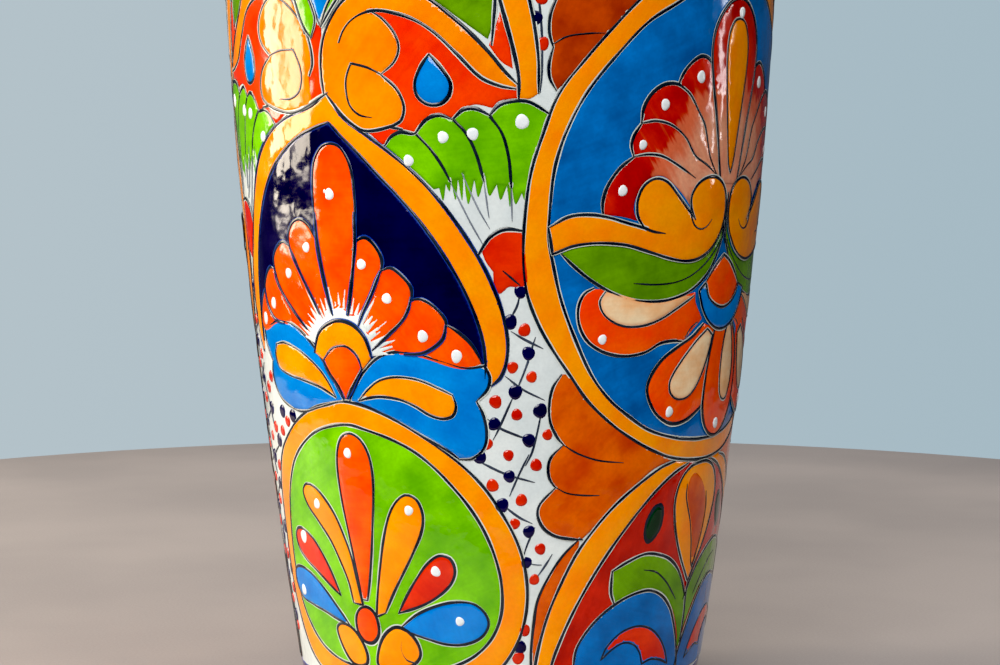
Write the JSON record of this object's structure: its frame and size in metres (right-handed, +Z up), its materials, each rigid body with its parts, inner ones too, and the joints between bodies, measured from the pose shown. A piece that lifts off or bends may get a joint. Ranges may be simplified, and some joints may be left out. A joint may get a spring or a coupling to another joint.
{
  "type": "vase",
  "caption": "Tapered glazed earthenware vase with rounded shoulder, short neck and rolled rim, covered in raised floral panels",
  "frame": {"origin": "centre of the foot ring's underside, on the surface that the vase stands on", "axes": "+Z up along the vase's axis of revolution; -Y is the side that faces the viewer, with a green-oval column to its left and the big blue oval to its right"},
  "size_m": [0.2054, 0.2054, 0.38],
  "materials": {
    "fired_clay": "unglazed red-brown earthenware, rough",
    "white_glaze": "glossy white tin glaze",
    "lining_glaze": "glossy off-white glaze",
    "cobalt_glaze": "glossy dark blue glaze",
    "navy_glaze": "glossy raised navy glaze",
    "green_glaze": "glossy raised leaf-green glaze",
    "blue_glaze": "glossy raised sky-blue glaze",
    "orange_glaze": "glossy raised orange-red glaze",
    "red_glaze": "glossy raised dark red glaze",
    "amber_glaze": "glossy raised burnt-orange glaze"
  },
  "bodies": {
    "root": {"foot_ring": "fired_clay", "base_slab": "fired_clay", "lower_body": "fired_clay", "upper_body": "fired_clay", "lower_shoulder": "fired_clay", "upper_shoulder": "fired_clay", "neck_collar": "fired_clay", "rim_coil": "fired_clay", "exterior_glaze": "white_glaze", "interior_glaze": "lining_glaze", "foot_glaze_band": "cobalt_glaze", "rim_glaze_band": "cobalt_glaze", "front_left_teardrop": "navy_glaze", "front_left_green_oval": "green_glaze", "front_left_top_bud": "blue_glaze", "front_left_left_wing": "blue_glaze", "front_left_left_scroll_field": "orange_glaze", "front_left_left_green_fan": "green_glaze", "front_left_right_wing": "blue_glaze", "front_left_right_scroll_field": "orange_glaze", "front_left_right_green_fan": "green_glaze", "back_right_teardrop": "navy_glaze", "back_right_green_oval": "green_glaze", "back_right_top_bud": "blue_glaze", "back_right_left_wing": "blue_glaze", "back_right_left_scroll_field": "orange_glaze", "back_right_left_green_fan": "green_glaze", "back_right_right_wing": "blue_glaze", "back_right_right_scroll_field": "orange_glaze", "back_right_right_green_fan": "green_glaze", "front_right_blue_oval": "blue_glaze", "front_right_red_medallion": "red_glaze", "front_right_left_lower_scallops": "amber_glaze", "front_right_left_upper_scallops": "amber_glaze", "front_right_right_lower_scallops": "amber_glaze", "front_right_right_upper_scallops": "amber_glaze", "back_left_blue_oval": "blue_glaze", "back_left_red_medallion": "red_glaze", "back_left_left_lower_scallops": "amber_glaze", "back_left_left_upper_scallops": "amber_glaze", "back_left_right_lower_scallops": "amber_glaze", "back_left_right_upper_scallops": "amber_glaze"}
  },
  "joints": []
}
